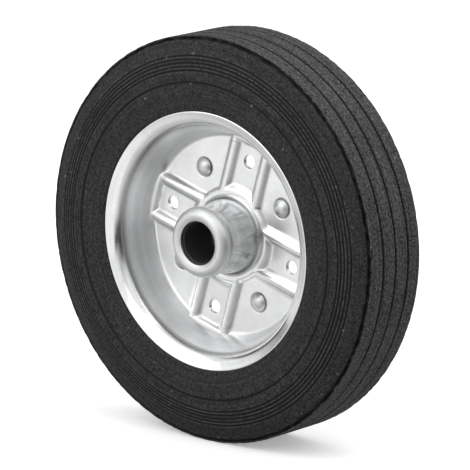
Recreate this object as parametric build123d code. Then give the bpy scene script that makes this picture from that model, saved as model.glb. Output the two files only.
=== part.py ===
"""Solid-rubber-tyred utility wheel: two pressed steel rim halves riveted back to back on a drawn hub.

Every piece is made lying down, with the wheel's axis along Z and its visible side facing +Z, and is
then stood up so that the axis is Y and the front of the wheel faces -Y. Height 0 of the lying
pieces is the wheel's middle plane, in which the two rim halves meet. Lengths are in millimetres
and angles in degrees.
"""
from build123d import *
import math
import os

# Tyre
tyre_radius = 100.0  # tread surface
tread_half_width = 18.2  # middle plane to the corner between tread and sidewall
shoulder_share = 0.7  # a point of the shoulder, as a share of the way from the lip to the tread
shoulder_half_width = 22.4  # middle plane to that point
sidewall_full_share = 0.37  # where the sidewall is fullest, as such a share
sidewall_half_width = 23.8  # middle plane to the fullest part of the sidewall
bead_bulge_share = 0.75  # how much of that fullness is left half way down to the lip
bead_half_width = 22.2  # middle plane to the sidewall's inner edge, beside the lip
tyre_bore_radius = 53.4  # the rubber's inner face, between the two rim halves
tread_groove_count = 3
tread_groove_pitch = 9.5
tread_groove_width = 1.6
tread_groove_depth = 1.6
tread_groove_flare = 0.5  # how much wider a groove is at the tread than half way down, as a share

# Pressed rim half
rim_sheet = 1.2
disc_radius = 49.2  # where the disc's front face would meet the wall, before the bend
disc_bend_radius = 2.0
bend_flat_count = 2  # each bend of the sheet is drawn as this many short flats
wall_end_radius = 57.3  # where the wall would meet the flange, before the bend
wall_end_height = 20.0
flange_bend_radius = 2.6
lip_radius = 63.4
lip_height = 22.4  # middle plane to the front edge of the lip

# Ribs and plateau pressed up out of the disc
rib_height = 2.5  # above the disc's front face; the plateau is as high
rib_offset = 10.1  # an arm's middle line to each of its two ribs
rib_crest_half_width = 1.2
rib_flank_run = 2.0
rib_overrun = 2.8  # how far the ribs run on past the disc's edge, into the wall
plateau_radius = 22.0
plateau_slope_run = 2.0  # sideways run of the slope round the plateau
arm_step_start = 22.4  # where the plateau starts to fall between the two ribs of an arm
arm_step_run = 3.2  # sideways run of that slope

# Holes and rivets
arm_count = 4
first_arm_angle = -16.2  # from +X towards +Z, seen from the front
bolt_circle_radius = 39.0
bolt_hole_radius = 3.3
rivet_circle_radius = 35.7
rivet_shank_radius = 2.5
rivet_head_radius = 5.3
rivet_head_height = 2.3
rivet_head_edge = 0.4  # straight edge under the dome
rivet_dome_flat_count = 2  # the dome is turned in this many flats

# Drawn hub shell
hub_sheet = 2.4
hub_flange_radius = 21.2
hub_root_inset = 2.4  # from the flange's edge in to where the tube would meet it, before the flare
hub_flare_radius = 1.8
hub_flare_flat_count = 2
hub_waist_radius = 16.1
hub_waist_height = 19.8
hub_mouth_chamfer = 2.5  # the tube's inner edge at the flange
nose_radius = 17.4
nose_height = 22.2  # where the nose is widest
nose_front_radius = 13.8  # the foremost ring of the nose
nose_front_height = 27.5
nose_flat_count = 4
nose_bore_radius = 10.87
nose_edge_drop = 0.9  # the edge of the bore lies this far behind the foremost ring

# Plain bush
axle_radius = 10.0
bush_inner_end = 4.0  # middle plane to the bush's inner end
bush_chamfer = 0.6

# Clearances
axle_clearance = 0.1
seat_clearance = 0.1  # tyre on rim, flange in its pocket, bush against the nose
bush_clearance = 0.03
rivet_clearance = 0.05
hub_hole_clearance = 0.15

# Values that follow
below = 6.0  # how far a tool body reaches past the face that it works on
shoulder_radius = lip_radius + shoulder_share * (tyre_radius - lip_radius)
sidewall_full_radius = lip_radius + sidewall_full_share * (tyre_radius - lip_radius)
pocket_height = rib_height  # the back of the sheet rises as far as its front
hub_root_radius = hub_flange_radius - hub_root_inset
hub_bore_radius = hub_waist_radius - hub_sheet
nose_seat_height = nose_front_height - hub_sheet
axle_bore_radius = axle_radius + axle_clearance


def lathe(*edges):
    """Turn a closed half section, drawn as radius and height, about the wheel's axis."""
    return revolve(Plane.XZ * make_face(edges), Axis.Z)


def disc_body(radius, low, high):
    """A plain round body on the axis."""
    return extrude(Plane.XY.offset(low) * Circle(radius), high - low)


def in_arms(shape, turn=0.0):
    """Copy a shape from the first arm to every arm."""
    return [Rot(Z=turn + 360 / arm_count * k) * shape for k in range(arm_count)]


def stand(shape, front):
    """Stand a lying piece up on its own side of the wheel, with its arms in line with the other side's."""
    turn = first_arm_angle if front else -first_arm_angle
    return Rot(X=90 if front else -90) * (Rot(Z=turn) * shape)


def in_flats(curve, count):
    """Points along a curve, to be joined by short flats in its place."""
    return [curve @ (k / count) for k in range(count + 1)]


def bend(before, corner, after, radius, flats):
    """The flats of a bend at a corner of a section, from the straight before it to the one after."""
    rounded = FilletPolyline(before, corner, after, radius=radius)
    return in_flats(rounded.edges().filter_by(GeomType.CIRCLE)[0], flats)


def rim_line():
    """Front face of the plain dish: disc, wall and flange, with their bends."""
    centre, lip = (0, rim_sheet), (lip_radius, lip_height)
    disc_edge, wall_end = (disc_radius, rim_sheet), (wall_end_radius, wall_end_height)
    return Polyline(
        centre,
        *bend(centre, disc_edge, wall_end, disc_bend_radius, bend_flat_count),
        *bend(disc_edge, wall_end, lip, flange_bend_radius, bend_flat_count),
        lip,
    )


def line_behind_rim(distance):
    """The dish's line moved back by a distance, from the axis to the lip."""
    return offset(rim_line(), distance, kind=Kind.INTERSECTION, side=Side.RIGHT, closed=False)


def dish():
    """The plain dish."""
    sheet = offset(rim_line(), rim_sheet, kind=Kind.INTERSECTION, side=Side.RIGHT, closed=True)
    return revolve(Plane.XZ * make_face(sheet), Axis.Z)


def behind_dish():
    """All that lies behind the dish's back face, which trims what is pressed up from it."""
    back = line_behind_rim(rim_sheet)
    near, far = back.vertices().sort_by(Axis.X)[0], back.vertices().sort_by(Axis.X)[-1]
    rest = Polyline(
        (near.X, near.Y),
        (near.X, -below),
        (far.X + below, -below),
        (far.X + below, far.Y),
        (far.X, far.Y),
    )
    return lathe(back, rest)


def back_shift(run):
    """How far the back of a slope lies inside its front, for a sheet of even thickness."""
    return rim_sheet * math.tan(math.atan2(rib_height, run) / 2)


def rib_section(front):
    """Section across a rib, under its front face or under the back of the sheet."""
    shift = 0 if front else back_shift(rib_flank_run)
    level = rim_sheet if front else 0
    crest = rib_crest_half_width - shift / 2
    foot = rib_crest_half_width + rib_flank_run - shift
    right = [(crest, level + rib_height), (foot, level), (foot, -below)]
    left = [(-across, height) for across, height in reversed(right)]
    return make_face(Polyline(*left, *right, close=True))


def slope_outline(start, run, front):
    """Half section of a raised flat that falls to the disc's level over a run."""
    shift = 0 if front else back_shift(run)
    level = rim_sheet if front else 0
    return Polyline(
        (0, -below),
        (0, level + rib_height),
        (start - shift, level + rib_height),
        (start + run - shift, level),
        (start + run - shift, -below),
        close=True,
    )


def relief(front):
    """What is pressed up out of the disc: as the body under its front face, or under its back face."""
    inner_end = plateau_radius / 2
    reach = disc_radius + rib_overrun if front else disc_radius
    rib_length = math.sqrt(reach**2 - rib_offset**2) - inner_end
    rib = extrude(Plane.YZ.offset(inner_end) * rib_section(front), rib_length)
    half_width = rib_offset if front else rib_offset - back_shift(rib_flank_run)
    step_outline = slope_outline(arm_step_start, arm_step_run, front)
    step = extrude(Plane.XZ * make_face(step_outline), half_width, both=True)
    plateau = lathe(slope_outline(plateau_radius, plateau_slope_run, front))
    arm = [Pos(Y=rib_offset) * rib, Pos(Y=-rib_offset) * rib, step]
    return [plateau] + [copy for body in arm for copy in in_arms(body)]


def hub_outline():
    """Outside of the hub shell's tube, as points from the flange's edge to the waist."""
    edge, root = (hub_flange_radius, hub_sheet), (hub_root_radius, hub_sheet)
    waist = (hub_waist_radius, hub_waist_height)
    flare = bend(edge, root, waist, hub_flare_radius, hub_flare_flat_count)
    return [edge, *[(point.X, point.Y) for point in flare], waist]


def hub_radius_at(height):
    """Outside radius of the hub shell where it passes through the rim half."""
    points = hub_outline()
    for (outer, low), (inner, high) in zip(points, points[1:]):
        if low < high and low <= height <= high:
            return outer + (inner - outer) * (height - low) / (high - low)
    return hub_flange_radius


def rim_half():
    """One pressed rim half: dish, ribs, plateau, hub hole, bolt holes and rivet holes."""
    pressed = dish() + relief(front=True) - behind_dish() - relief(front=False)
    top = rim_sheet + pocket_height
    hub_hole = disc_body(hub_radius_at(pocket_height) + hub_hole_clearance, -below, top + below)
    bolt_hole = Pos(X=bolt_circle_radius) * disc_body(bolt_hole_radius, -below, below)
    rivet_hole = Pos(X=rivet_circle_radius) * disc_body(rivet_shank_radius + rivet_clearance, -below, below)
    return pressed - [hub_hole, *in_arms(bolt_hole), *in_arms(rivet_hole, 180 / arm_count)]


def sidewall_arc(side):
    """The shoulder and sidewall of one side, from the tread's corner to their fullest place."""
    return ThreePointArc(
        (tyre_radius, side * tread_half_width),
        (shoulder_radius, side * shoulder_half_width),
        (sidewall_full_radius, side * sidewall_half_width),
    )


def bead_arc(side):
    """The sidewall of one side, from its fullest place down to the lip."""
    foot = lip_radius
    middle = (foot + sidewall_full_radius) / 2
    bulge = (sidewall_half_width - bead_half_width) * bead_bulge_share
    return ThreePointArc(
        (sidewall_full_radius, side * sidewall_half_width),
        (middle, side * (bead_half_width + bulge)),
        (foot, side * bead_half_width),
    )


def rim_space(side):
    """The room that one rim half takes inside the rubber."""
    back = line_behind_rim(rim_sheet + seat_clearance)
    near, far = back.vertices().sort_by(Axis.X)[0], back.vertices().sort_by(Axis.X)[-1]
    room = lathe(back, Polyline(
        (far.X, far.Y),
        (far.X + seat_clearance, far.Y),
        (far.X + seat_clearance, sidewall_half_width + below),
        (near.X, sidewall_half_width + below),
        (near.X, near.Y),
    ))
    return room if side > 0 else mirror(room, Plane.XY)


def tread_groove(height):
    """A groove round the tread, wider at its mouth."""
    half = tread_groove_width / 2
    widening = half * tread_groove_flare
    return lathe(Polyline(
        (tyre_radius + tread_groove_depth, height - half - widening),
        (tyre_radius - tread_groove_depth, height - half + widening),
        (tyre_radius - tread_groove_depth, height + half - widening),
        (tyre_radius + tread_groove_depth, height + half + widening),
        close=True,
    ))


def tyre():
    """The solid rubber tyre, seated on both rim halves."""
    foot = bead_arc(1) @ 1
    bore = Polyline(
        (foot.X, foot.Y),
        (tyre_bore_radius, foot.Y),
        (tyre_bore_radius, -foot.Y),
        (foot.X, -foot.Y),
    )
    tread = Line((tyre_radius, tread_half_width), (tyre_radius, -tread_half_width))
    body = lathe(sidewall_arc(1), bead_arc(1), sidewall_arc(-1), bead_arc(-1), bore, tread)
    middle = (tread_groove_count - 1) / 2
    grooves = [tread_groove((k - middle) * tread_groove_pitch) for k in range(tread_groove_count)]
    return body - [rim_space(1), rim_space(-1), *grooves]


def nose_curve():
    """The nose's rolled edge, from its widest ring to its foremost one."""
    across, along = nose_radius - nose_front_radius, nose_front_height - nose_height
    slant = math.radians(45)
    middle = (nose_front_radius + across * math.cos(slant), nose_height + along * math.sin(slant))
    return ThreePointArc((nose_radius, nose_height), middle, (nose_front_radius, nose_front_height))


def hub_shell():
    """One drawn hub shell: flange, flared tube and rolled-in nose."""
    return lathe(Polyline(
        *hub_outline(),
        *in_flats(nose_curve(), nose_flat_count),
        (nose_bore_radius, nose_front_height - nose_edge_drop),
        (nose_bore_radius, nose_seat_height),
        (hub_bore_radius, nose_seat_height),
        (hub_bore_radius, hub_mouth_chamfer),
        (hub_bore_radius + hub_mouth_chamfer, 0),
        (hub_flange_radius, 0),
        close=True,
    ))


def bush():
    """One plain bush, pressed into its shell against the nose."""
    outer = hub_bore_radius - bush_clearance
    low, high = bush_inner_end, nose_seat_height - seat_clearance
    return lathe(Polyline(
        (axle_bore_radius + bush_chamfer, low),
        (axle_bore_radius, low + bush_chamfer),
        (axle_bore_radius, high - bush_chamfer),
        (axle_bore_radius + bush_chamfer, high),
        (outer, high),
        (outer, low),
        close=True,
    ))


def rivet():
    """One rivet through both discs, with a domed head on each side."""
    rise = rivet_head_height - rivet_head_edge
    ball = (rivet_head_radius**2 + rise**2) / (2 * rise)
    half_angle = math.asin(rivet_head_radius / ball)
    sweeps = [half_angle * k / rivet_dome_flat_count for k in range(rivet_dome_flat_count + 1)]
    crown = rim_sheet + rivet_head_height
    dome = [(ball * math.sin(sweep), crown - ball * (1 - math.cos(sweep))) for sweep in sweeps]
    top = dome + [(rivet_head_radius, rim_sheet), (rivet_shank_radius, rim_sheet)]
    bottom = [(radius, -height) for radius, height in reversed(top)]
    return lathe(Polyline(*top, *bottom, close=True))


def rivets():
    """The four rivets, midway between the arms."""
    return Compound(children=in_arms(Pos(X=rivet_circle_radius) * rivet(), 180 / arm_count))


def write(name, shape):
    """Write one node to its own file."""
    export_step(shape, f"parts/{name}.step")


def main():
    os.makedirs("parts", exist_ok=True)
    write("tyre", stand(tyre(), front=True))
    pressing, shell, liner = rim_half(), hub_shell(), bush()
    for side, front in (("front", True), ("back", False)):
        write(f"rim_half_{side}", stand(pressing, front))
        write(f"hub_shell_{side}", stand(shell, front))
        write(f"bush_{side}", stand(liner, front))
    write("rivets", stand(rivets(), front=True))


main()
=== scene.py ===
"""Looks of a solid-rubber-tyred utility wheel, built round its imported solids.

The wheel's axle lies along Y, its front faces -Y and Z is up. Lengths are in metres. Every new piece
is a surface worked out with numpy, and a height is a distance from the wheel's middle plane towards
the side that is being made.
"""
import math

import bpy
import numpy as np
from mathutils import Matrix, Vector


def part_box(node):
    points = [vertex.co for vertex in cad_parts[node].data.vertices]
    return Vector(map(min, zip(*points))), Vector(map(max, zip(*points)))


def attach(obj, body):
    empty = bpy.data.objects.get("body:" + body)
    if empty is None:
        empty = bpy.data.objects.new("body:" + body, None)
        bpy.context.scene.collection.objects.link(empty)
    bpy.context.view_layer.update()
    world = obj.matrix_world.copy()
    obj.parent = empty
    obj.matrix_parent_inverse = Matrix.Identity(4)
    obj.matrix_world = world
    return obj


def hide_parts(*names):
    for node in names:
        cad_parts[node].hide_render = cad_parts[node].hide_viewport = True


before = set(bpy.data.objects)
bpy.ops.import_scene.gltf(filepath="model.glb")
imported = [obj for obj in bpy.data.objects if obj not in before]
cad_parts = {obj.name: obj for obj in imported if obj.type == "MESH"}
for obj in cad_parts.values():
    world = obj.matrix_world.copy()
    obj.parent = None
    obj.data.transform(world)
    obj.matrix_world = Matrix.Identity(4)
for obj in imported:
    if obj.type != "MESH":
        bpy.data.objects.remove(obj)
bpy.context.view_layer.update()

bl_info = {
    "name": "Utility wheel",
    "version": (1, 0, 0),
    "blender": (4, 5, 0),
    "location": "3D View > Sidebar > Wheel",
    "description": "Builds the rubber tyre, pressed rim, drawn hub, bushes and rivets of a utility wheel",
    "category": "Add Mesh",
}

mm = 0.001
full_turn = 2 * math.pi
arm_count = 4
sides = {"front": -1, "back": 1}


def length(name, size, description):
    """A property for a length, given in millimetres."""
    return bpy.props.FloatProperty(
        name=name, description=description, default=size * mm, min=0.0, unit="LENGTH", precision=5
    )


def angle(name, size, description):
    """A property for an angle, given in degrees."""
    return bpy.props.FloatProperty(
        name=name, description=description, default=math.radians(size), unit="ROTATION"
    )


def colour(name, value, description):
    """A property for a linear colour."""
    return bpy.props.FloatVectorProperty(
        name=name, description=description, default=value, min=0.0, max=1.0, size=3, subtype="COLOR"
    )


def node_radius(name):
    """Radius of a round CAD node, as in millimetres, from its box."""
    low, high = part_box(name)
    return (high.z - low.z) / 2 / mm


class TyreSizes(bpy.types.PropertyGroup):
    """Section of the rubber."""

    radius: length("Radius", node_radius("tyre"), "Axle to tread")
    tread_half_width: length("Tread half width", 18.2, "Middle plane to the tread's corner")
    corner: length("Corner rounding", 0.5, "Radius of the tread's corner")
    shoulder_radius: length("Shoulder radius", 89.0, "Axle to a point half way down the shoulder")
    shoulder_half_width: length("Shoulder half width", 22.4, "Middle plane to that point")
    full_radius: length("Fullest radius", 77.0, "Axle to where the sidewall is fullest")
    full_half_width: length("Fullest half width", 23.8, "Middle plane to the fullest place")
    bead_radius: length("Bead radius", 64.6, "Axle to the ridge beside the lip")
    bead_half_width: length("Bead half width", 22.5, "Middle plane to that ridge")
    bead_gap: length("Bead gap", 0.9, "Depth of the gap between the ridge and the lip")
    bore_radius: length("Bore radius", 53.4, "The rubber's inner face, between the rim halves")
    groove_pitch: length("Groove pitch", 9.5, "Distance between the tread's grooves")
    groove_width: length("Groove width", 1.5, "Width of a tread groove")
    groove_depth: length("Groove depth", 1.0, "Depth of a tread groove")
    ring_first: length("First ring", 83.5, "Radius of the innermost ring of the group")
    ring_pitch: length("Ring pitch", 1.75, "Distance between the rings of the group")
    ring_single: length("Single ring", 77.7, "Radius of the ring that stands alone")
    ring_width: length("Ring width", 0.9, "Width of a ring's groove")
    ring_depth: length("Ring depth", 0.4, "Depth of a ring's groove")
    seam_radius: length("Seam radius", 98.7, "Radius of the ragged moulding seam in the shoulder")
    seam_width: length("Seam width", 1.35, "Width of the moulding seam")
    seam_depth: length("Seam depth", 1.1, "Depth of the moulding seam")
    seam_wander: length("Seam wander", 0.13, "How far the moulding seam strays to either side")
    chip_width: length("Chip width", 1.8, "Width of the tread's rough corner")
    chip_depth: length("Chip depth", 0.12, "How far that corner is eaten away")
    rubber: colour("Rubber", (0.0095, 0.0095, 0.01), "Colour of the rubber")
    dust: colour("Dust", (0.32, 0.32, 0.31), "Colour of the dust specks")


class RimSizes(bpy.types.PropertyGroup):
    """Section of one pressed rim half, and its ribs."""

    sheet: length("Sheet", 1.2, "Thickness of the steel")
    disc_radius: length("Disc radius", 49.2, "Where the disc would meet the wall, before the bend")
    disc_bend: length("Disc bend", 2.0, "Bend radius between disc and wall")
    wall_radius: length("Wall end radius", 57.3, "Where the wall would meet the flange, before the bend")
    wall_height: length("Wall end height", 20.0, "Height of that corner")
    flange_bend: length("Flange bend", 6.5, "Bend radius between wall and flange")
    lip_radius: length("Lip radius", 63.4, "Axle to the lip's edge")
    lip_height: length("Lip height", 22.4, "Middle plane to the lip's edge")
    rib_height: length("Rib height", 2.5, "Ribs and plateau above the disc")
    rib_offset: length("Rib offset", 10.1, "Middle line of an arm to each of its ribs")
    rib_half_width: length("Rib half width", 3.4, "A rib's middle line to its foot")
    plateau_radius: length("Plateau radius", 22.0, "Where the plateau round the hub starts to fall")
    arm_start: length("Arm start", 22.4, "Where the plateau starts to fall between two ribs")
    arm_end: length("Arm end", 47.0, "Where the arm's floor starts to climb to the wall")
    slope_run: length("Slope run", 2.0, "Run of the slopes round the plateau and at an arm's outer end")
    arm_run: length("Arm run", 4.6, "Run of the soft slope at an arm's inner end")
    hub_hole: length("Hub hole", 20.22, "Radius of the hole that the hub comes through")
    bolt_circle: length("Bolt circle", 39.0, "Axle to the middle of a bolt hole")
    bolt_hole: length("Bolt hole", 3.3, "Radius of a bolt hole")
    first_arm: angle("First arm", -16.2, "From +X towards +Z, seen from the front")
    plate: colour("Zinc plate", (0.89, 0.895, 0.9), "Colour of the plated sheet")


class HubSizes(bpy.types.PropertyGroup):
    """Section of one drawn hub shell and its bush."""

    sheet: length("Sheet", 2.4, "Thickness of the shell")
    flange_radius: length("Flange radius", 21.2, "Outer radius of the flange")
    root_radius: length("Root radius", 18.8, "Tube at the flange, before the flare")
    flare: length("Flare", 1.8, "Radius of the flare at the flange")
    waist_radius: length("Waist radius", 16.1, "Tube just behind the nose")
    waist_height: length("Waist height", 19.8, "Height of the waist")
    nose_radius: length("Nose radius", 17.4, "Where the nose is widest")
    nose_height: length("Nose height", 22.2, "Height of that place")
    front_radius: length("Front radius", 13.8, "The foremost ring of the nose")
    front_height: length("Front height", 27.5, "Height of that ring")
    bore_radius: length("Nose bore radius", 10.87, "The hole in the nose")
    edge_drop: length("Edge drop", 0.9, "The hole's edge behind the foremost ring")
    bush_inner_end: length("Bush inner end", 4.0, "Middle plane to the bush")
    bush_bore: length("Bush bore radius", 10.1, "The bush's running bore")
    plate: colour("Hub plate", (0.74, 0.745, 0.75), "Colour of the drawn shell")
    bush: colour("Bush", (0.002, 0.002, 0.002), "Colour of the bush")


class RivetSizes(bpy.types.PropertyGroup):
    """One rivet with a domed head on both sides."""

    circle: length("Rivet circle", 35.7, "Axle to a rivet")
    shank: length("Shank radius", 2.5, "Radius of the shank")
    head: length("Head radius", 4.4, "Radius of a head")
    height: length("Head height", 2.3, "Height of a head above the disc")
    edge: length("Head edge", 0.4, "Straight edge under the dome")
    plate: colour("Rivet plate", (0.66, 0.665, 0.67), "Colour of the rivets")


class StudioSettings(bpy.types.PropertyGroup):
    """Camera, lamps and floor."""

    azimuth: angle("Azimuth", 40.465, "Camera's place round the wheel, from the front")
    elevation: angle("Elevation", 12.59, "Camera's height above the horizon")
    distance: length("Distance", 2000.0, "Camera to the point that the azimuth is measured about")
    pivot: length("Pivot", 33.4, "That point's distance in front of the middle plane")
    turn: angle("Turn", 0.64, "Camera turned to its right about its own upright axis")
    tilt: angle("Tilt", -0.147, "Camera tilted about its own level axis")
    lens: bpy.props.FloatProperty(
        name="Lens", description="Focal length in millimetres", default=319.28, min=1.0
    )
    floor: colour("Floor", (0.9, 0.9, 0.9), "Colour of the floor")


# Shapes in numpy


def soft_ramp(value, rounding):
    """0 below, the value itself above, and (v + k)^2 / 4k between -k and k, which joins the two smoothly."""
    k = np.maximum(rounding, 1e-9)
    return np.where(value > k, value, np.clip(value + k, 0, None) ** 2 / (4 * k) * (value > -k))


def soft_union(first, *others, rounding):
    """Greatest of several slopes, plus (k - |a - b|)^2 / 4k where two are closer than k."""
    result = first
    for other in others:
        near = np.clip(rounding - np.abs(result - other), 0, None)
        result = np.maximum(result, other) + near**2 / (4 * rounding)
    return result


def rounded_line(corners, radii, steps=8):
    """A line through corners, with each inner one turned into an arc tangent to both of its runs."""
    corners = np.asarray(corners, float)
    line = [corners[:1]]
    for before, corner, after, radius in zip(corners, corners[1:], corners[2:], radii):
        come = (corner - before) / np.linalg.norm(corner - before)
        go = (after - corner) / np.linalg.norm(after - corner)
        side = np.sign(come[0] * go[1] - come[1] * go[0])
        turn = math.acos(np.clip(come @ go, -1, 1))
        start = corner - come * radius * math.tan(turn / 2)
        normal = side * np.array([-come[1], come[0]])
        swept = np.linspace(0, turn, steps + 1)[:, None]
        line.append(start + radius * (np.sin(swept) * come + (1 - np.cos(swept)) * normal))
    line.append(corners[-1:])
    return np.vstack(line)


def arc_through(first, middle, last, steps):
    """Evenly spaced points of a circle through three points p. Its centre c has the same |c - p| to each."""
    first, middle, last = (np.asarray(p, float) for p in (first, middle, last))
    rows = 2 * np.array([middle - first, last - first])
    squares = np.array([middle @ middle - first @ first, last @ last - first @ first])
    centre = np.linalg.solve(rows, squares)
    angles = np.unwrap([math.atan2(*(p - centre)[::-1]) for p in (first, middle, last)])
    swept = np.linspace(angles[0], angles[2], steps + 1)
    return centre + np.linalg.norm(first - centre) * np.c_[np.cos(swept), np.sin(swept)]


def divided(line, pitch):
    """The same line with each run cut evenly, so that none is longer than the pitch."""
    step = np.diff(line, axis=0)
    parts = np.ceil(np.hypot(*step.T) / pitch - 1e-6).astype(int).clip(1)
    share_done = np.concatenate([np.arange(n) / n for n in parts])[:, None]
    return np.vstack([np.repeat(line[:-1], parts, 0) + np.repeat(step, parts, 0) * share_done, line[-1:]])


def divided_loop(line, pitch):
    """The same for a closed line, which is given and returned without its first point at its end."""
    return divided(np.vstack([line, line[:1]]), pitch)[:-1]


def line_normals(line):
    """Unit normals to the left of a line, from the difference of each point's neighbours."""
    along = np.gradient(line, axis=0)
    return np.c_[-along[:, 1], along[:, 0]] / np.hypot(*along.T)[:, None]


def offset_line(line, distance):
    """A line moved to its right by a distance, each point along its own normal."""
    return line - line_normals(line) * distance


def grid_quads(rows, columns, close_rows=True):
    """Corner numbers of the quads between neighbouring rows, each row a closed ring of columns."""
    i, j = np.meshgrid(np.arange(rows if close_rows else rows - 1), np.arange(columns), indexing="ij")
    down, right = (i + 1) % rows, (j + 1) % columns
    corners = [i * columns + j, i * columns + right, down * columns + right, down * columns + j]
    return np.stack(corners, -1)


def ring_noise(count, waves, seed):
    """Smooth noise round a ring: cosines of 1 to waves turns with random phases, added up to about 1."""
    random = np.random.default_rng(seed)
    turns = np.arange(1, waves + 1)
    phase = random.uniform(0, full_turn, waves)
    swing = random.normal(0, 1, waves)
    around = np.arange(count)[:, None] / count * full_turn
    return (np.cos(around * turns + phase) * swing).sum(1) / math.sqrt(waves / 2)


def turned(radius, height, columns):
    """Radius and height turned about the axle: (r cos a, y, r sin a), with a even round the ring."""
    around = np.arange(columns) / columns * full_turn
    radius, height = np.broadcast_arrays(radius, height)
    if radius.ndim == 1:
        radius, height = radius[:, None], height[:, None]
    flat = np.zeros_like(around)
    return np.stack([radius * np.cos(around), height + flat, radius * np.sin(around)], -1)


def volume_of(points, faces):
    """Signed volume inside flat faces: a sixth of the sum of a . (b x c) over the triangles they fan into."""
    corners = [points[faces[:, k]] for k in range(faces.shape[1])]
    return sum((np.cross(b, c) * corners[0]).sum() for b, c in zip(corners[1:], corners[2:])) / 6


def place_object(name, data):
    """A new object in the scene."""
    thing = bpy.data.objects.new(name, data)
    bpy.context.scene.collection.objects.link(thing)
    return thing


def make_piece(name, points, material, nodes, quads=None, marks=(), tips=()):
    """Puts a closed surface into a mesh that faces outwards, rides on the wheel and stands for CAD nodes.

    Its faces are quads, which are those of its closed rows unless they are given, and triangles at tips.
    """
    if quads is None:
        quads = grid_quads(*points.shape[:2])
    points, quads = points.reshape(-1, 3), quads.reshape(-1, 4)
    tips = np.asarray(tips, int).reshape(-1, 3)
    if volume_of(points, quads) + volume_of(points, tips) < 0:
        quads, tips = quads[:, ::-1], tips[:, ::-1]
    loops = np.concatenate([quads.ravel(), tips.ravel()])
    starts = np.r_[np.arange(len(quads)) * 4, quads.size + np.arange(len(tips)) * 3]
    mesh = bpy.data.meshes.new(name)
    mesh.vertices.add(len(points))
    mesh.vertices.foreach_set("co", points.astype(np.float32).ravel())
    mesh.loops.add(len(loops))
    mesh.loops.foreach_set("vertex_index", loops.astype(np.int32))
    mesh.polygons.add(len(starts))
    mesh.polygons.foreach_set("loop_start", starts.astype(np.int32))
    mesh.update(calc_edges=True)
    for mark, values in dict(marks).items():
        layer = mesh.attributes.new(mark, "FLOAT", "POINT")
        layer.data.foreach_set("value", np.asarray(values, np.float32).ravel())
    if mesh.validate():
        raise RuntimeError(f"{name} has faces that are not valid")
    mesh.shade_smooth()
    mesh.set_sharp_from_angle(angle=math.radians(35))
    mesh.materials.append(material)
    piece = place_object(name, mesh)
    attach(piece, "root")
    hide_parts(*nodes)
    return piece


# Tyre


def tyre_outline(tyre):
    """Half of the tyre's outside, from the middle of the tread to the ridge beside the lip."""
    corner = (tyre.radius, tyre.tread_half_width)
    shoulder = (tyre.shoulder_radius, tyre.shoulder_half_width)
    fullest = (tyre.full_radius, tyre.full_half_width)
    bead = (tyre.bead_radius, tyre.bead_half_width)
    middle = ((bead[0] + fullest[0]) / 2, bead[1] + (fullest[1] - bead[1]) * 0.75)
    wall = arc_through(corner, shoulder, fullest, 24)
    edge = rounded_line([(tyre.radius, 0.0), corner, wall[1]], [tyre.corner], 4)
    foot = arc_through(fullest, middle, bead, 14)
    return np.vstack([edge[:-1], wall[1:], foot[1:]])


def cut(position, middle, width, depth, wall):
    """Depth of a groove at positions along a line: flat bottom, sides that slope over the wall's share."""
    reach = np.abs(position - middle) / (width / 2)
    return depth * np.clip((1 + wall - reach) / (2 * wall), 0, 1)


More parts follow.
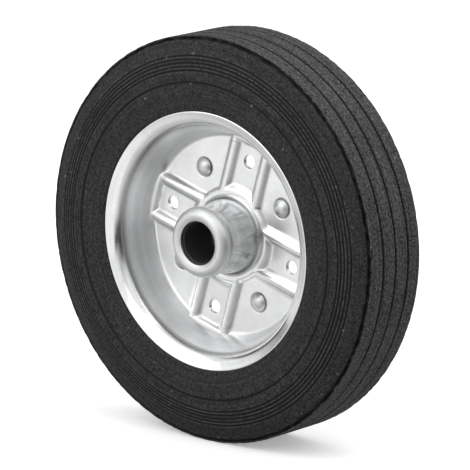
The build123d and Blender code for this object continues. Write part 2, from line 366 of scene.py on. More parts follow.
def build_tyre(tyre, rim):
    """The rubber: its outline is pushed in along its normals by grooves, rings, the ragged seam and chips.

    A mark is a middle along the outline, a width, a depth and the share of its sloping walls. The attribute
    "hollow" is 1 at the bottom of a mark and carries painted shade, and "tread" is 1 on the tread and less
    between the rings of the group, and carries painted light.
    """
    columns, row_pitch, seam_reach, clearance = 360, 1.6 * mm, 1.6 * mm, 0.1 * mm
    # Besides the ring count, the numbers weigh the painted shade in a tread groove and the painted light
    # between the rings of the group.
    ring_count, groove_shade, group_painted_light = 5, 0.75, 0.4
    outline = tyre_outline(tyre)
    travel = np.r_[0, np.cumsum(np.hypot(*np.diff(outline, axis=0).T))]
    wall_part = outline[:, 1] > tyre.tread_half_width * 0.97

    def place(radius):
        """Distance along the outline at which the sidewall has a radius."""
        return np.interp(-radius, -outline[wall_part, 0], travel[wall_part])

    rings = [tyre.ring_first + tyre.ring_pitch * k for k in range(ring_count)] + [tyre.ring_single]
    marks = [(tyre.groove_pitch * k, tyre.groove_width, tyre.groove_depth, 0.12) for k in (0, 1)]
    marks += [(place(radius), tyre.ring_width, tyre.ring_depth, 0.6) for radius in rings]
    seam = place(tyre.seam_radius)
    reach = np.array([-1.0, -0.7, 0.0, 0.7, 1.0])
    stations = [divided(travel[:, None] * [1, 0], row_pitch)[:, 0]]
    stations += [middle + width / 2 * (1 + wall) * reach for middle, width, _, wall in marks]
    stations += [np.linspace(seam - seam_reach, seam + seam_reach, 11)]
    stations = np.unique(np.round(np.concatenate(stations), 7))
    stations = stations[(stations >= 0) & (stations <= travel[-1])]
    line = np.c_[np.interp(stations, travel, outline[:, 0]), np.interp(stations, travel, outline[:, 1])]
    normals = line_normals(line)

    cuts = [cut(stations, *form) for form in marks]
    depth = sum(cuts)[:, None]
    # Painted shade at the bottom of each mark, weaker in the tread's grooves.
    darkness = [groove_shade if form[2] > tyre.ring_depth else 1 for form in marks]
    shade = sum(own / form[2] * dark for own, form, dark in zip(cuts, marks, darkness))
    # Painted light: full on the tread, and less between the rings of the group.
    tread_painted_light = np.clip((line[:, 0] - tyre.radius) / mm + 1.2, 0, 1)
    in_group = np.abs(line[:, 0] - tyre.ring_first - 2 * tyre.ring_pitch) < 2.6 * tyre.ring_pitch
    tread_painted_light = np.maximum(tread_painted_light, group_painted_light * in_group)
    surfaces, hollows = [], []
    for side, seed in ((1, 11), (-1, 23)):
        wander = ring_noise(columns, 120, seed) * tyre.seam_wander
        swell = (1 + 0.45 * ring_noise(columns, 150, seed + 1)).clip(0.45, 1.6)
        ragged = cut(stations[:, None], seam + wander, tyre.seam_width, tyre.seam_depth, 0.4) * swell
        eaten = ring_noise(columns, 170, seed + 2).clip(0, 1.6)
        chips = cut(stations, tyre.tread_half_width, tyre.chip_width, tyre.chip_depth, 0.8)[:, None] * eaten
        pushed = depth + ragged + chips
        radius = line[:, :1] + normals[:, :1] * pushed
        height = line[:, 1:] + normals[:, 1:] * pushed
        surfaces.append(turned(radius, side * height, columns))
        # Painted shade in the marks, and more of it in the ragged seam.
        hollows.append(shade[:, None] + ragged / tyre.seam_depth * 1.6)
    back = offset_line(rim_front_line(rim), rim.sheet + clearance)[::-1]
    back = back[back[:, 0] > tyre.bore_radius][::2]
    lip = [(tyre.bead_radius - 0.35 * mm, tyre.bead_half_width - 0.1 * mm),
           (rim.lip_radius + 0.15 * mm, tyre.bead_half_width - tyre.bead_gap)]
    inside = np.vstack([lip, back[1:], [(tyre.bore_radius, back[-1, 1])]])
    hidden = [turned(inside[:, 0], side * inside[:, 1], columns) for side in (1, -1)]
    rows = np.concatenate([surfaces[1][:0:-1], surfaces[0], hidden[0], hidden[1][::-1]])
    none = np.zeros((len(inside), columns))
    hollow = np.concatenate([hollows[1][:0:-1], hollows[0], none, none])
    # Painted light goes on the rubber that shows, and none on its hidden faces.
    tread = tread_painted_light[:, None] + np.zeros(columns)
    tread = np.concatenate([tread[:0:-1], tread, none, none])
    attributes = {"hollow": hollow.clip(0, 1), "tread": tread}
    make_piece("tyre_rubber", rows, rubber_material(tyre), ["tyre"], marks=attributes)


# Rim


def rim_front_line(rim):
    """Front line of the plain dish in short steps, from the hub's hole over disc and wall to the lip."""
    corners = [(rim.hub_hole, rim.sheet), (rim.disc_radius, rim.sheet), (rim.wall_radius, rim.wall_height),
               (rim.lip_radius, rim.lip_height)]
    return divided(rounded_line(corners, (rim.disc_bend, rim.flange_bend)), 0.6 * mm)


def arm_lines(rim, radius):
    """Angles of the rim's columns at a radius, for half of one arm's quarter.

    Line k lies at a fixed distance c_k from the arm's middle line, so its angle is asin(c_k / r), held
    below the quarter's end by half a degree for each line that follows. The last ten lines share out
    what is left up to 45 degrees.
    """
    hole_lines = np.arange(8) * 0.8 * mm
    rib_lines = rim.rib_offset + np.array([-4, -3.3, -2.7, -2.1, -1.5, -1, -0.5, 0]) * mm
    rib_lines = np.r_[rib_lines, 2 * rim.rib_offset - rib_lines[-2::-1]]
    across = np.r_[hole_lines, rib_lines]
    outer = 10
    last = math.pi / arm_count
    count = len(across) + outer
    held = last - np.arange(count, outer, -1) * math.radians(0.5)
    locked = np.minimum(radius, rim.disc_radius)[:, None]
    angles = np.minimum(np.arcsin(np.clip(across / locked, 0, 1)), held)
    rest = angles[:, -1:] + (last - angles[:, -1:]) * np.arange(1, outer + 1) / outer
    return np.hstack([angles, rest])


def pressed_height(rim, x, y, shrink):
    """Height of ribs, plateau and arm ends above the disc, at x along and y across an arm.

    Each form has a slope s that is 0 at its foot and 1 at its top. A soft union joins the slopes, and
    the height is that of the form times sin(s pi / 2), so ribs are round on top and crisp at the foot.
    An arm's inner end takes s squared, which is soft at its foot too. The back face has the same forms,
    shrunk sideways.
    """
    across, along = np.abs(y), np.abs(x)
    radius = np.hypot(x, y)

    def rib(offset_across, offset_along):
        side = (rim.rib_half_width - shrink - np.abs(offset_across - rim.rib_offset)) / rim.rib_half_width
        return np.minimum(side, (offset_along - rim.plateau_radius / 2) / rim.rib_half_width)

    own, other = rib(across, along), rib(along, across)
    plateau = (rim.plateau_radius + rim.slope_run - shrink - radius) / rim.slope_run
    between = (rim.rib_offset - across) / rim.rib_half_width + 1
    start = ((rim.arm_start + rim.arm_run - shrink - radius) / rim.arm_run).clip(0, 1) ** 2
    end = (along - rim.arm_end - shrink) / rim.slope_run
    starts, ends = np.minimum(start, between), np.minimum(end, between)
    slope = soft_union(own, other, plateau, starts, ends, rounding=0.25)
    return rim.rib_height * np.sin(soft_ramp(slope, 0.07).clip(0, 1) * math.pi / 2)


def face_heights(rim, line, angles, front):
    """Heights of one face of the sheet: the plain dish, or the pressed forms where they stand higher."""
    radius, base = line[:, :1], line[:, 1:]
    floor = rim.sheet if front else 0.0
    shrink = 0.0 if front else rim.sheet * math.tan(math.atan2(rim.rib_height, rim.slope_run) / 2)
    raised = floor + pressed_height(rim, radius * np.cos(angles), radius * np.sin(angles), shrink)
    above = (base - floor) / mm
    rounding = 0.6 * mm * (soft_ramp(above, 0.3) - soft_ramp(above - 1, 0.3))
    return base + soft_ramp(raised - base, rounding)


def pressed_share(rim, radii, heights):
    """How far up a pressed form a point of the disc stands, 0 on its floor and 1 on a crest."""
    share_up = (heights - rim.sheet) / rim.rib_height
    return np.where(radii < rim.disc_radius - rim.disc_bend, share_up.clip(0, 1), 0)


def sheet_lines(rim):
    """Front line of the plain sheet, the half circle round its lip, and its back line, which runs inwards."""
    front = rim_front_line(rim)
    back = offset_line(front, rim.sheet)
    back[:, 1] = np.where(front[:, 0] < rim.disc_radius - rim.disc_bend, 0.0, back[:, 1])
    along = front[-1] - front[-2]
    along = along / np.hypot(*along)
    middle = (front[-1] + back[-1]) / 2 - along * rim.sheet / 2
    swept = np.linspace(0, math.pi, 9)[1:-1, None]
    up = (front[-1] - back[-1]) / 2
    lip = middle + np.cos(swept) * up + np.sin(swept) * along * rim.sheet / 2
    front[-1], back[-1] = middle + up, middle - up
    return front, lip, back[::-1]


def hole_rings(rim, outer, towards):
    """Rings from the edge of a block of cells to its bolt hole, through the sheet and out again.

    Each comes with its height. It has a point on every ray from the hole's middle to the block's edge.
    """
    centre = rim.bolt_circle * np.array([math.cos(towards), math.sin(towards)])
    outer = outer - centre
    distance = np.hypot(*outer.T)[:, None]
    ray = outer / distance
    wider = [(distance - rim.bolt_hole) / 2, 0.35 * mm, 0.09 * mm, 0.0]
    drops = np.array([0.0, 0.0, 0.08, 0.3]) * mm
    flats = [centre + ray * (rim.bolt_hole + more) for more in wider]
    return [*zip(flats, rim.sheet - drops), *zip(flats[::-1], drops[::-1] / 3)]


def build_rim(rim, side_name):
    """One pressed sheet: rows run out over the front face, round the lip and back behind it.

    A ring of columns stands at every row. The block of cells round each bolt hole is taken out of both
    faces, and the hole's rings close the gap.
    """
    front, lip, back = sheet_lines(rim)
    rows = np.vstack([front, lip, back])
    half = arm_lines(rim, rows[:, 0])
    quarter = np.hstack([-half[:, :0:-1], half[:, :-1]])
    heights = np.vstack([
        face_heights(rim, front, quarter[: len(front)], True),
        lip[:, 1:] + np.zeros_like(quarter[: len(lip)]),
        face_heights(rim, back, quarter[-len(back):], False),
    ])
    radii = rows[:, :1] + np.zeros_like(quarter)
    edge_drop, edge_step = np.array([[0.35, 0.08, 0.0], [0.0, 0.09, 0.35]])[..., None] * mm
    heights[:3] -= edge_drop
    radii[:3] = rim.hub_hole + edge_step

    total, columns = quarter.shape
    quarters = [quarter + k * full_turn / arm_count for k in range(arm_count)]
    around = rim.first_arm + np.concatenate(quarters, 1)
    radii, heights = np.tile(radii, arm_count), np.tile(heights, arm_count)
    side = sides[side_name]
    points = np.stack([radii * np.cos(around), side * heights, radii * np.sin(around)], -1).reshape(-1, 3)

    all_columns = columns * arm_count
    quads = grid_quads(total, all_columns)
    block_reach, block_columns = 5.11 * mm, 12
    first, last = np.flatnonzero(np.abs(front[:, 0] - rim.bolt_circle) < block_reach)[[0, -1]]
    keep = np.ones(quads.shape[:2], bool)
    extra_points, extra_quads = [], []
    next_point = len(points)
    for arm in range(arm_count):
        left = arm * columns + (columns - block_columns) // 2
        right = left + block_columns
        keep[first:last, left:right] = False
        keep[total - 1 - last:total - 1 - first, left:right] = False
        out, over = np.arange(first, last), np.arange(left, right)
        loop_rows = np.r_[out, np.full(len(over), last), out[::-1] + 1, np.full(len(over), first)]
        loop_columns = np.r_[np.full(len(out), left), over, np.full(len(out), right), over[::-1] + 1]
        front_loop = loop_rows * all_columns + loop_columns
        loops = [front_loop]
        towards = rim.first_arm + arm * full_turn / arm_count
        for flat, height in hole_rings(rim, points[front_loop][:, [0, 2]], towards):
            extra_points.append(np.insert(flat, 1, side * height, axis=1))
            loops.append(next_point + np.arange(len(flat)))
            next_point += len(flat)
        loops.append((total - 1 - loop_rows) * all_columns + loop_columns)
        for a, b in zip(loops, loops[1:]):
            extra_quads.append(np.stack([b, np.roll(b, -1), np.roll(a, -1), a], -1))
    rest = np.zeros(next_point - len(points))
    crest = np.r_[pressed_share(rim, radii, heights).ravel(), rest]
    drawn = np.r_[((rim.wall_height - heights) / (3 * mm)).clip(0, 1).ravel(), rest + 1]
    make_piece(
        f"rim_sheet_{side_name}", np.concatenate([points, *extra_points]),
        plate_material("rim_plate", rim.plate, 0.1, 0.17, pressed=True),
        [f"rim_half_{side_name}"],
        np.concatenate([quads[keep], *extra_quads]), {"crest": crest, "drawn": drawn},
    )


# Hub, bushes and rivets


def build_hub(hub, side_name):
    """One drawn shell, turned from its section: flange, flare, tube, rolled-in nose, bore and inside."""
    seat = hub.front_height - hub.sheet
    inner = hub.waist_radius - hub.sheet
    widest = np.array([hub.nose_radius, hub.nose_height])
    foremost = np.array([hub.front_radius, hub.front_height])
    edge_rounding, waist_bend, mouth_rounding = 0.3 * mm, 3.0 * mm, 2.5 * mm
    outside = rounded_line(
        [(hub.flange_radius, 0.0), (hub.flange_radius, hub.sheet), (hub.root_radius, hub.sheet),
         (hub.waist_radius, hub.waist_height), widest],
        (edge_rounding, hub.flare, waist_bend), 10,
    )
    centre = np.array([hub.front_radius, hub.nose_height])
    knee = centre + (widest + foremost - 2 * centre) * math.sqrt(0.5)
    nose = arc_through(widest, knee, foremost, 14)
    edge = (hub.bore_radius, hub.front_height - hub.edge_drop)
    face_middle = ((foremost[0] + edge[0]) / 2, foremost[1] - hub.edge_drop * 0.22)
    face = arc_through(foremost, face_middle, edge, 6)
    inside = rounded_line(
        [edge, (hub.bore_radius, seat), (inner, seat), (inner, 0.0), (hub.flange_radius, 0.0)],
        (edge_rounding, edge_rounding, mouth_rounding), 6,
    )
    section = divided_loop(np.vstack([outside, nose[1:], face[1:], inside[1:-1]]), 1.6 * mm)
    points = turned(section[:, 0], sides[side_name] * section[:, 1], 160)
    material = plate_material("hub_plate", hub.plate, 0.2, 0.3, nose=hub.nose_height)
    make_piece(f"hub_formed_{side_name}", points, material, [f"hub_shell_{side_name}"])


def build_bush(hub, side_name):
    """One plain bush, turned from a chamfered section."""
    outer = hub.waist_radius - hub.sheet - 0.03 * mm
    low, high = hub.bush_inner_end, hub.front_height - hub.sheet - 0.1 * mm
    chamfer = 0.6 * mm
    section = np.array([
        (hub.bush_bore + chamfer, low), (hub.bush_bore, low + chamfer),
        (hub.bush_bore, high - chamfer), (hub.bush_bore + chamfer, high),
        (outer - chamfer, high), (outer, high - chamfer),
        (outer, low + chamfer), (outer - chamfer, low),
    ])
    section = divided_loop(section, 3 * mm)
    points = turned(section[:, 0], sides[side_name] * section[:, 1], 120)
    make_piece(f"bush_lining_{side_name}", points, bush_material(hub), [f"bush_{side_name}"])


def build_rivets(rivet, rim):
    """Four rivets: one turned section with a dome at both ends, each a little out of round.

    A rivet's rings come first and then its two poles, and triangles close it there.
    """
    rise = rivet.height - rivet.edge
    ball = (rivet.head**2 + rise**2) / (2 * rise)
    sweep = np.linspace(0, math.asin(rivet.head / ball), 15)[1:]
    dome = np.c_[ball * np.sin(sweep), rim.sheet + rivet.height - ball * (1 - np.cos(sweep))]
    foot = [(rivet.head, rim.sheet + 0.05 * mm), (rivet.head - 0.2 * mm, rim.sheet), (rivet.shank, rim.sheet)]
    top = np.vstack([dome, foot])
    section = np.vstack([top, top[::-1] * [1, -1]])
    columns = 56
    here = np.arange(columns)
    around = here / columns * full_turn
    beside = np.roll(here, -1)
    last_ring = (len(section) - 1) * columns
    pole = len(section) * columns
    random = np.random.default_rng(5)
    shapes, faces, tips = [], [], []
    for k in range(arm_count):
        phase = random.uniform(0, full_turn, 2)
        lobes = 1 + 0.006 * np.cos(2 * around + phase[0]) + 0.004 * np.cos(5 * around + phase[1])
        body = turned(section[:, :1] * lobes, section[:, 1:] + 0 * lobes, columns).reshape(-1, 3)
        poles = np.array([(0, 1, 0), (0, -1, 0)]) * (rim.sheet + rivet.height)
        towards = rim.first_arm + (k + 0.5) * full_turn / arm_count
        place = rivet.circle * np.array([math.cos(towards), 0, math.sin(towards)])
        first = k * (pole + 2)
        shapes.append(np.vstack([body, poles]) + place)
        faces.append(grid_quads(len(section), columns, close_rows=False).reshape(-1, 4) + first)
        tips.append(np.c_[beside, here, 0 * here + pole] + first)
        tips.append(np.c_[here + last_ring, beside + last_ring, 0 * here + pole + 1] + first)
    make_piece(
        "rivets_set", np.concatenate(shapes), plate_material("rivet_plate", rivet.plate, 0.3, 0.45),
        ["rivets"], np.concatenate(faces), tips=np.concatenate(tips),
    )


# Materials


def add(tree, kind, inputs=(), **settings):
    """A new node; an input that is given a socket is linked to it, and one that is given a value holds it."""
    node = tree.nodes.new("ShaderNode" + kind)
    for key, value in settings.items():
        setattr(node, key, value)
    for key, value in dict(inputs).items():
        if isinstance(value, bpy.types.NodeSocket):
            tree.links.new(value, node.inputs[key])
        else:
            node.inputs[key].default_value = value
    return node


def empty_tree(owner):
    """The node tree of a material or a world, with nothing in it."""
    owner.use_nodes = True
    owner.node_tree.nodes.clear()
    return owner.node_tree


def number(tree, operation, *values, clamped=False):
    """The result of a sum with one to three values."""
    return add(tree, "Math", dict(enumerate(values)), operation=operation, use_clamp=clamped).outputs[0]


def ramp(tree, value, start, end, low=0.0, high=1.0, kind="LINEAR"):
    """A number that goes from low to high while the value goes from start to end, and stays past both."""
    inputs = {"Value": value, "From Min": start, "From Max": end, "To Min": low, "To Max": high}
    return add(tree, "MapRange", inputs, interpolation_type=kind).outputs[0]


def spread(tree, factor, low, high):
    """A number between two, by a factor."""
    return ramp(tree, factor, 0.0, 1.0, low, high)


def band(tree, value, rise, fall, strength):
    """0, up to the strength over the first range of values, and back to 0 over the second."""
    return number(tree, "MULTIPLY", ramp(tree, value, *rise), ramp(tree, value, *fall, strength, 0.0))


def blend(tree, factor, low, high):
    """A number between two, each a value or a socket, by a factor."""
    return add(tree, "Mix", {0: factor, 2: low, 3: high}).outputs[0]


def tint(tree, factor, low, high):
    """A colour between two, each a value or a socket, by a factor."""
    low, high = (end if isinstance(end, bpy.types.NodeSocket) else (*end, 1) for end in (low, high))
    return add(tree, "Mix", {0: factor, 6: low, 7: high}, data_type="RGBA").outputs[2]


def times(values, factor):
    """A colour made lighter or darker."""
    return tuple(min(v * factor, 1.0) for v in values)


def axes_of(tree, vector):
    """The three parts of a vector."""
    return tuple(add(tree, "SeparateXYZ", {0: vector}).outputs)


def length_of(tree, *parts):
    """The length of a vector, given by its parts."""
    vector = add(tree, "CombineXYZ", dict(enumerate(parts))).outputs[0]
    return add(tree, "VectorMath", {0: vector}, operation="LENGTH").outputs["Value"]


def noise(tree, place, scale, detail):
    """Plain noise."""
    return add(tree, "TexNoise", {"Vector": place, "Scale": scale, "Detail": detail}).outputs["Fac"]


def mark(tree, name):
    """What build_tyre or build_rim wrote at the points under a name."""
    return add(tree, "Attribute", attribute_name=name).outputs["Fac"]


def bump(tree, height, strength, distance, **inputs):
    """A normal that is tilted as the height goes up and down."""
    inputs = {"Height": height, "Strength": strength, "Distance": distance, **inputs}
    return add(tree, "Bump", inputs).outputs[0]


def shared(body):
    """Turns a function that adds nodes and returns a socket into one that places a group of those nodes.

    The group is made on first use. It has the function's name, and a socket for each of its inputs.
    """

    def place_group(tree, place, **values):
        inputs = {"place": place, **values}
        group = bpy.data.node_groups.get(body.__name__)
        if not group:
            group = bpy.data.node_groups.new(body.__name__, "ShaderNodeTree")
            start, end = (group.nodes.new("NodeGroup" + way) for way in ("Input", "Output"))
            for name in inputs:
                kind = "Vector" if name == "place" else "Float"
                group.interface.new_socket(name, in_out="INPUT", socket_type="NodeSocket" + kind)
            group.interface.new_socket("result", in_out="OUTPUT", socket_type="NodeSocketFloat")
            result = body(group, **{name: start.outputs[name] for name in inputs})
            group.links.new(result, end.inputs["result"])
        return add(tree, "Group", inputs, node_tree=group).outputs["result"]

    return place_group


@shared
def specks(tree, place, scale, share, size):
    """Scattered specks: the point of a cell of a pattern, where the cell's own chance is below the share."""
    cells = add(tree, "TexVoronoi", {"Vector": place, "Scale": scale}).outputs
    chance = add(tree, "SeparateColor", {"Color": cells["Color"]}).outputs
    chosen = number(tree, "LESS_THAN", chance[0], share)
    reach = number(tree, "MULTIPLY", size, chance[1])
    return number(tree, "MULTIPLY", ramp(tree, cells["Distance"], reach, 0.0), chosen)


@shared
def clouds(tree, place, scale, contrast):
    """Even cloudiness: noise at one scale and at five times that scale, weighed 2 to 1, about 0 to 1."""
    wide = noise(tree, place, scale, 4.0)
    fine = noise(tree, place, number(tree, "MULTIPLY", scale, 5.0), 6.0)
    from_middle = number(tree, "SUBTRACT", blend(tree, 0.33, wide, fine), 0.5)
    return number(tree, "MULTIPLY_ADD", from_middle, contrast, 0.5, clamped=True)


@shared
def draw_marks(tree, place, scale, start):
    """Marks that run round the axle: noise over radius and |height|, from a height up, and 0.5 below it.

    A small share of x and z is added, so that a mark ends after a while.
    """
    x, y, z = axes_of(tree, place)
    radius = length_of(tree, x, z)
    height = number(tree, "ABSOLUTE", y)
    section = add(tree, "CombineXYZ", {"X": radius, "Y": height}).outputs[0]
    slow = add(tree, "VectorMath", {0: place, 1: (0.03, 0.0, 0.03)}, operation="MULTIPLY")
    spot = add(tree, "VectorMath", {0: section, 1: slow.outputs[0]}, operation="ADD").outputs[0]
    sharp = ramp(tree, noise(tree, spot, scale, 5.0), 0.32, 0.68)
    above = number(tree, "SUBTRACT", height, start)
    return blend(tree, number(tree, "MULTIPLY", above, 400.0, clamped=True), 0.5, sharp)


@shared
def rivet_ring(tree, place):
    """Distance to the nearest rivet's axis, as 0 at its head's edge and 1 a little way out on the disc.

    Turned so that the rivets lie on the axes, a point's distance is the less of |(|x| - R, z)| and
    |(x, |z| - R)|, with R the rivets' circle.
    """
    rim, rivet = bpy.context.scene.wheel_rim, bpy.context.scene.wheel_rivet
    inputs = {"Vector": place, "Rotation": (0, rim.first_arm + math.pi / 4, 0)}
    x, _, z = axes_of(tree, add(tree, "Mapping", inputs).outputs[0])
    distances = []
    for first, second in ((x, z), (z, x)):
        past = number(tree, "SUBTRACT", number(tree, "ABSOLUTE", first), rivet.circle)
        distances.append(length_of(tree, past, second))
    nearest = number(tree, "MINIMUM", *distances)
    return ramp(tree, nearest, rivet.head, rivet.head + 1.3 * mm, kind="SMOOTHSTEP")


def new_material(name):
    """An empty material with a Principled shader, and its Object coordinates."""
    material = bpy.data.materials.new(name)
    tree = empty_tree(material)
    shader = add(tree, "BsdfPrincipled")
    add(tree, "OutputMaterial", {"Surface": shader.outputs[0]})
    return material, tree, shader, add(tree, "TexCoord").outputs["Object"]


def dress(tree, shader, base, rough, normal):
    """Links what a material has worked out to its shader."""
    for key, socket in (("Base Color", base), ("Roughness", rough), ("Normal", normal)):
        tree.links.new(socket, shader.inputs[key])


def rubber_material(tyre):
    """Matt moulded rubber: grain, dull clouds, streaks round the axle, dust specks, painted shade in the
    hollows and a painted highlight on the tread and the ring group.
    """
    material, tree, shader, place = new_material("moulded_rubber")
    shader.inputs["Specular IOR Level"].default_value = 0.25
    cloudy = clouds(tree, place, scale=60.0, contrast=2.0)
    grain = clouds(tree, place, scale=950.0, contrast=4.4)
    streaks = draw_marks(tree, place, scale=900.0, start=-1.0)
    dust = specks(tree, place, scale=420.0, share=0.05, size=0.42)
    deep = tint(tree, cloudy, times(tyre.rubber, 0.25), times(tyre.rubber, 0.6))
    # Painted light: the pale end of the grain is lighter still on the tread, and a little lighter between the
    # rings of the group.
    pale = tint(tree, mark(tree, "tread"), times(tyre.rubber, 5.4), times(tyre.rubber, 15.0))
    # Painted shade at the bottom of grooves, rings and the seam, broken up by the grain.
    hollow_shade = number(tree, "MULTIPLY", mark(tree, "hollow"), spread(tree, grain, 0.6, 1.5))
    shown = tint(tree, grain, deep, pale)
    shown = tint(tree, spread(tree, streaks, 0.55, 0.0), shown, times(tyre.rubber, 0.3))
    shown = tint(tree, ramp(tree, hollow_shade, 0.35, 0.62, 0.0, 0.95), shown, times(tyre.rubber, 0.2))
    shown = tint(tree, spread(tree, dust, 0.0, 0.5), shown, tyre.dust)
    dress(tree, shader, shown, spread(tree, cloudy, 0.62, 0.8), bump(tree, grain, 0.6, 0.15 * mm))
    return material


def plate_material(name, plate, low, high, pressed=False, nose=None):
    """Zinc plate on formed sheet: cloudy bloom, fine mottle, a few dull specks and marks of drawing.

    Layers of a darker plate lie one over the other, each a factor and how much of the plate's lightness is
    left. On a pressed rim they also hold painted shade: a dark ring round each rivet where its head meets the
    disc, painted shade low on the wall, a painted dark reflection along the flange's bend, and painted shade
    at the feet of the pressed forms, whose crests are polished. From the height of a nose on, the plate is
    rougher.
    """
    if name in bpy.data.materials:
        return bpy.data.materials[name]
    material, tree, shader, place = new_material(name)
    shader.inputs["Metallic"].default_value = 1.0
    height = number(tree, "ABSOLUTE", axes_of(tree, place)[1])
    cloudy = clouds(tree, place, scale=90.0, contrast=2.4)
    mottle = clouds(tree, place, scale=700.0, contrast=2.0)
    dull = specks(tree, place, scale=260.0, share=0.08, size=0.25)
    drawing = draw_marks(tree, place, scale=420.0, start=4 * mm)
    layers = [
        (spread(tree, mottle, 0.0, 0.3), 0.8),
        (spread(tree, dull, 0.0, 0.5), 0.45),
        (spread(tree, drawing, 0.4, 0.0), 0.55),
    ]
    rough = spread(tree, cloudy, low, high)
    uneven = blend(tree, 0.25, noise(tree, place, 160.0, 2.0), mottle)
    normal = bump(tree, blend(tree, 0.3, uneven, drawing), 0.35, 0.1 * mm)
    if pressed:
        ring = rivet_ring(tree, place)
        crest = mark(tree, "crest")
        layers += [
            # Painted shade where each rivet's head meets the disc.
            (spread(tree, ring, 0.85, 0.0), 0.2),
            # Painted shade low on the wall.
            (band(tree, height, (2.5 * mm, 6 * mm), (5 * mm, 14 * mm), 0.24), 0.5),
            # Painted dark reflection along the flange's bend.
            (band(tree, height, (15 * mm, 17.2 * mm), (17.2 * mm, 19.4 * mm), 0.8), 0.25),
            # Painted shade at the feet of the pressed forms.
            (band(tree, crest, (0.01, 0.12), (0.3, 0.85), 0.45), 0.3),
        ]
        rough = blend(tree, mark(tree, "drawn"), rough, 0.3)
        rough = blend(tree, spread(tree, crest, 0.0, 0.5), rough, 0.12)
        normal = bump(tree, ring, 1.0, 0.3 * mm, Normal=normal)
    if nose:
        rough = blend(tree, ramp(tree, height, nose - 1 * mm, nose + 1 * mm), rough, 0.5)
    shown = tint(tree, cloudy, times(plate, 0.86), times(plate, 1.08))
    for factor, lightness in layers:
        shown = tint(tree, factor, shown, times(plate, lightness))
    dress(tree, shader, shown, rough, normal)
    return material


def bush_material(hub):
    """Black moulded plastic with a slight sheen and turned-looking unevenness."""
    if "bush_plastic" in bpy.data.materials:
        return bpy.data.materials["bush_plastic"]
    material, tree, shader, place = new_material("bush_plastic")
    shader.inputs["Specular IOR Level"].default_value = 0.1
    cloudy = clouds(tree, place, scale=220.0, contrast=2.0)
    shown = tint(tree, cloudy, hub.bush, times(hub.bush, 2.2))
    dress(tree, shader, shown, spread(tree, cloudy, 0.35, 0.6), bump(tree, cloudy, 0.2, 0.1 * mm))
    return material


# Studio


def make_camera(studio):
    """A camera on a level circle round the pivot, then turned and tilted a little about its own axes."""
    a, e = studio.azimuth, studio.elevation
    back = Vector((math.sin(a) * math.cos(e), -math.cos(a) * math.cos(e), math.sin(e)))
    right = Vector((math.cos(a), math.sin(a), 0.0))
    up = back.cross(right)
    level = Matrix((right, up, back))
    turn = Matrix.Rotation(studio.turn, 3, "Y")
    tilt = Matrix.Rotation(studio.tilt, 3, "X")
    data = bpy.data.cameras.new("photo_camera")
    data.lens = studio.lens
    data.sensor_width = 36.0
    data.clip_start, data.clip_end = 0.05, 50.0
    camera = place_object("photo_camera", data)
    place = back * studio.distance - Vector((0.0, studio.pivot, 0.0))
    camera.matrix_world = Matrix.Translation(place) @ (tilt @ turn @ level).transposed().to_4x4()
    bpy.context.scene.camera = camera


def make_lamp(name, place, size, power):
    """A square soft lamp that looks at the wheel's centre."""
    data = bpy.data.lights.new(name, "AREA")
    data.size = size
    data.energy = power
    lamp = place_object(name, data)
    lamp.location = place
    lamp.rotation_mode = "QUATERNION"
    lamp.rotation_quaternion = (-Vector(place)).to_track_quat("-Z", "Y")


def make_world():
    """White to the camera, even and pale to dull surfaces, and a studio with two dark flanks to shiny ones.

    x, y and z are the parts of a direction. The right flank grows darker with x and fades out upwards
    from z 0.14 to 0.46. The left one lies where 0.6 y - x is great and fades out from z 0.55 to 0.85.
    """
    world = bpy.data.worlds.new("studio_world")
    bpy.context.scene.world = world
    tree = empty_tree(world)
    x, y, z = axes_of(tree, add(tree, "TexCoord").outputs["Generated"])

    def step(value, start, end):
        return ramp(tree, value, start, end, kind="SMOOTHSTEP")

    right = number(tree, "MULTIPLY", ramp(tree, x, 0.0, 0.85), step(z, 0.46, 0.14))
    behind = number(tree, "MULTIPLY_ADD", y, 0.6, number(tree, "MULTIPLY", x, -1.0))
    left = number(tree, "MULTIPLY", step(behind, 0.52, 0.85), step(z, 0.85, 0.55))
    flanked = number(tree, "MULTIPLY", spread(tree, right, 1.02, 0.06), spread(tree, left, 1.0, 0.1))
    path = add(tree, "LightPath").outputs
    seen = blend(tree, path["Is Glossy Ray"], 0.8, flanked)
    for ray in ("Is Camera Ray", "Is Transmission Ray"):
        seen = blend(tree, path[ray], seen, 1.0)
    light = add(tree, "Background", {"Color": (1, 1, 1, 1), "Strength": seen})
    add(tree, "OutputWorld", {"Surface": light.outputs[0]})


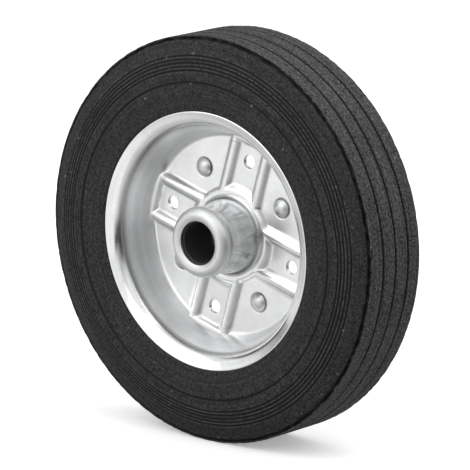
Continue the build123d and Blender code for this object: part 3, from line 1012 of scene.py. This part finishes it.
def make_floor(studio, level):
    """A pale floor that keeps the wheel's shadow and reads white to the camera where it is fully lit.

    To other rays it is a table with painted shade: it darkens to the right of the wheel, and a painted shadow
    of the wheel makes it darker by about a third from 0.1 m in front of the wheel backwards, clear again 0.24
    m in front.
    """
    material = bpy.data.materials.new("pale_floor")
    tree = empty_tree(material)
    is_camera = add(tree, "LightPath").outputs["Is Camera Ray"]
    matt = add(tree, "BsdfDiffuse", {"Color": (*studio.floor, 1)})
    glow = add(tree, "Emission", {"Color": (1, 1, 1, 1), "Strength": 0.33})
    both = add(tree, "AddShader", {0: matt.outputs[0], 1: glow.outputs[0]})
    x, y, _ = axes_of(tree, add(tree, "TexCoord").outputs["Object"])
    # Painted shade for all but camera rays: darker to the right, and a painted shadow of the wheel close to
    # it.
    shade_to_right = ramp(tree, x, -0.05, 0.42, kind="SMOOTHSTEP")
    near = ramp(tree, y, -0.24, -0.10, 0.0, 0.36, kind="SMOOTHSTEP")
    table_painted_shade = tint(tree, near, tint(tree, shade_to_right, studio.floor, (0.05, 0.05, 0.05)), (0.1, 0.1, 0.1))
    table = add(tree, "BsdfDiffuse", {"Color": table_painted_shade})
    choice = add(tree, "MixShader", {0: is_camera, 1: table.outputs[0], 2: both.outputs[0]})
    add(tree, "OutputMaterial", {"Surface": choice.outputs[0]})
    reach = 8.0
    corners = [(reach * x, reach * y, level) for x, y in ((-1, -1), (1, -1), (1, 1), (-1, 1))]
    mesh = bpy.data.meshes.new("floor")
    mesh.from_pydata(corners, [], [(0, 1, 2, 3)])
    mesh.materials.append(material)
    place_object("floor", mesh)


# Operators, panel and registration


class WHEEL_OT_tyre(bpy.types.Operator):
    """Build the rubber tyre"""

    bl_idname = "wheel.tyre"
    bl_label = "Tyre"

    def execute(self, context):
        build_tyre(context.scene.wheel_tyre, context.scene.wheel_rim)
        return {"FINISHED"}


class WHEEL_OT_rim(bpy.types.Operator):
    """Build both pressed rim halves"""

    bl_idname = "wheel.rim"
    bl_label = "Rim halves"

    def execute(self, context):
        for side_name in sides:
            build_rim(context.scene.wheel_rim, side_name)
        return {"FINISHED"}


class WHEEL_OT_hub(bpy.types.Operator):
    """Build both hub shells and their bushes"""

    bl_idname = "wheel.hub"
    bl_label = "Hub and bushes"

    def execute(self, context):
        for side_name in sides:
            build_hub(context.scene.wheel_hub, side_name)
            build_bush(context.scene.wheel_hub, side_name)
        return {"FINISHED"}


class WHEEL_OT_rivets(bpy.types.Operator):
    """Build the four rivets"""

    bl_idname = "wheel.rivets"
    bl_label = "Rivets"

    def execute(self, context):
        build_rivets(context.scene.wheel_rivet, context.scene.wheel_rim)
        return {"FINISHED"}


class WHEEL_OT_studio(bpy.types.Operator):
    """Set up camera, lamps, world and floor"""

    bl_idname = "wheel.studio"
    bl_label = "Studio"

    def execute(self, context):
        studio = context.scene.wheel_studio
        make_camera(studio)
        make_world()
        make_lamp("key_lamp", (-0.6, -1.6, 1.3), size=2.1, power=16.0)
        make_lamp("top_lamp", (0.9, 0.3, 1.4), size=2.0, power=14.0)
        make_floor(studio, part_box("tyre")[0].z)
        context.scene.view_settings.view_transform = "Standard"
        return {"FINISHED"}


class WHEEL_PT_panel(bpy.types.Panel):
    """Lists the wheel's pieces"""

    bl_idname = "WHEEL_PT_panel"
    bl_label = "Utility wheel"
    bl_space_type = "VIEW_3D"
    bl_region_type = "UI"
    bl_category = "Wheel"

    def draw(self, context):
        for operator in operators:
            self.layout.operator(operator.bl_idname)
        for name, group in setting_groups.items():
            box = self.layout.box()
            box.label(text=name.replace("wheel_", "").capitalize())
            settings = getattr(context.scene, name)
            for key in group.__annotations__:
                box.prop(settings, key)


setting_groups = {
    "wheel_tyre": TyreSizes,
    "wheel_rim": RimSizes,
    "wheel_hub": HubSizes,
    "wheel_rivet": RivetSizes,
    "wheel_studio": StudioSettings,
}
operators = (WHEEL_OT_tyre, WHEEL_OT_rim, WHEEL_OT_hub, WHEEL_OT_rivets, WHEEL_OT_studio)
classes = (*setting_groups.values(), *operators, WHEEL_PT_panel)


def register():
    for cls in classes:
        bpy.utils.register_class(cls)
    for name, group in setting_groups.items():
        setattr(bpy.types.Scene, name, bpy.props.PointerProperty(type=group))


def unregister():
    for name in setting_groups:
        delattr(bpy.types.Scene, name)
    for cls in reversed(classes):
        bpy.utils.unregister_class(cls)


def main():
    """Builds every piece in order."""
    register()
    for operator in operators:
        getattr(bpy.ops.wheel, operator.bl_idname.split(".")[1])()


if __name__ == "__main__":
    main()
